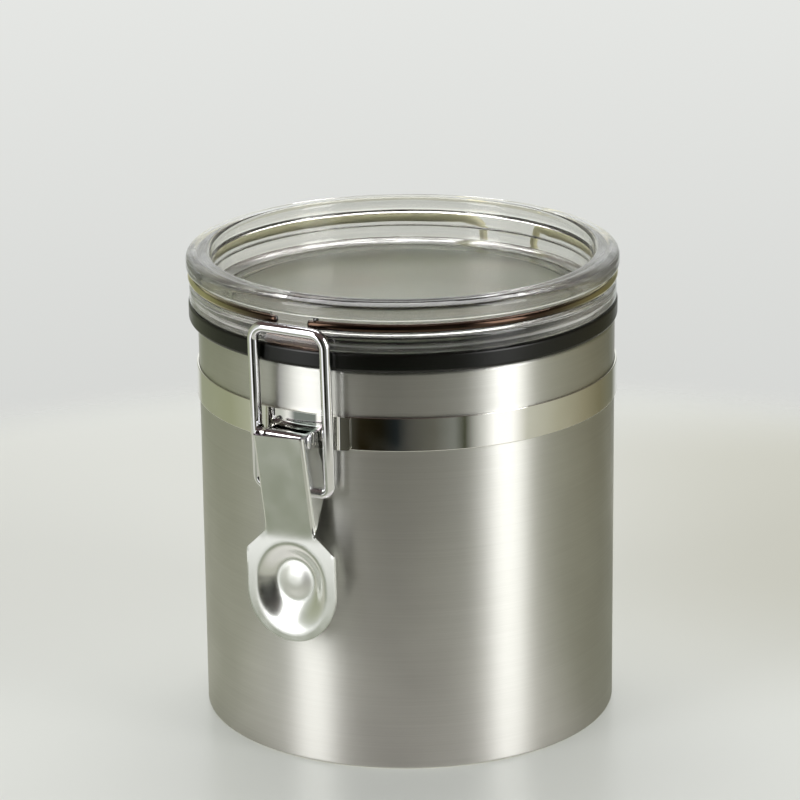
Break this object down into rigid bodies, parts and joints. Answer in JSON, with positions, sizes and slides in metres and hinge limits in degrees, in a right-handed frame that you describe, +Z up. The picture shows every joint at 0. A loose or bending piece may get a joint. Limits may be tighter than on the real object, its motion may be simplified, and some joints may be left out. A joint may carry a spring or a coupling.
{
  "type": "clip-top canister",
  "caption": "Round steel storage canister with a clear hinged lid, held airtight by a wire bail and an over-centre lever.",
  "frame": {"origin": "centre of the can's base, on the surface it stands on", "axes": "+Z up along the can's axis, -Y towards the latch, +Y towards the hinge, +X to the right seen from the latch"},
  "size_m": [0.1206, 0.1344, 0.1335],
  "materials": {
    "brushed_steel": "brushed round the can",
    "polished_steel": "mirror polished",
    "chrome": "bright plated",
    "clear_acrylic": "clear moulded acrylic",
    "black_silicone": "satin black"
  },
  "bodies": {
    "can": {"can_shell": "brushed_steel", "base_panel": "brushed_steel", "band": "polished_steel", "latch_bracket": "polished_steel", "hinge_bracket": "polished_steel", "lever_rivet": "chrome"},
    "lid": {"lid": "clear_acrylic", "lid_gasket": "black_silicone", "lid_wire": "chrome"},
    "lever": {"lever": "chrome"},
    "bail": {"bail": "chrome"}
  },
  "joints": [
    {"name": "lid_hinge", "type": "hinge", "parent": "can", "child": "lid", "pos_m": [0, 0.0641, 0.104], "axis": [-1, 0, 0], "range_deg": [0, 110]},
    {"name": "lever_swing", "type": "hinge", "parent": "can", "child": "lever", "pos_m": [0, -0.0635, 0.0952], "axis": [-1, 0, 0], "range_deg": [0, 112]},
    {"name": "bail_swing", "type": "hinge", "parent": "lever", "child": "bail", "pos_m": [0, -0.0613, 0.08], "axis": [-1, 0, 0], "range_deg": [-146, 0]}
  ],
  "couplings": [
    {"joint": "bail_swing", "follows": "lever_swing", "ratio": -1.3}
  ]
}
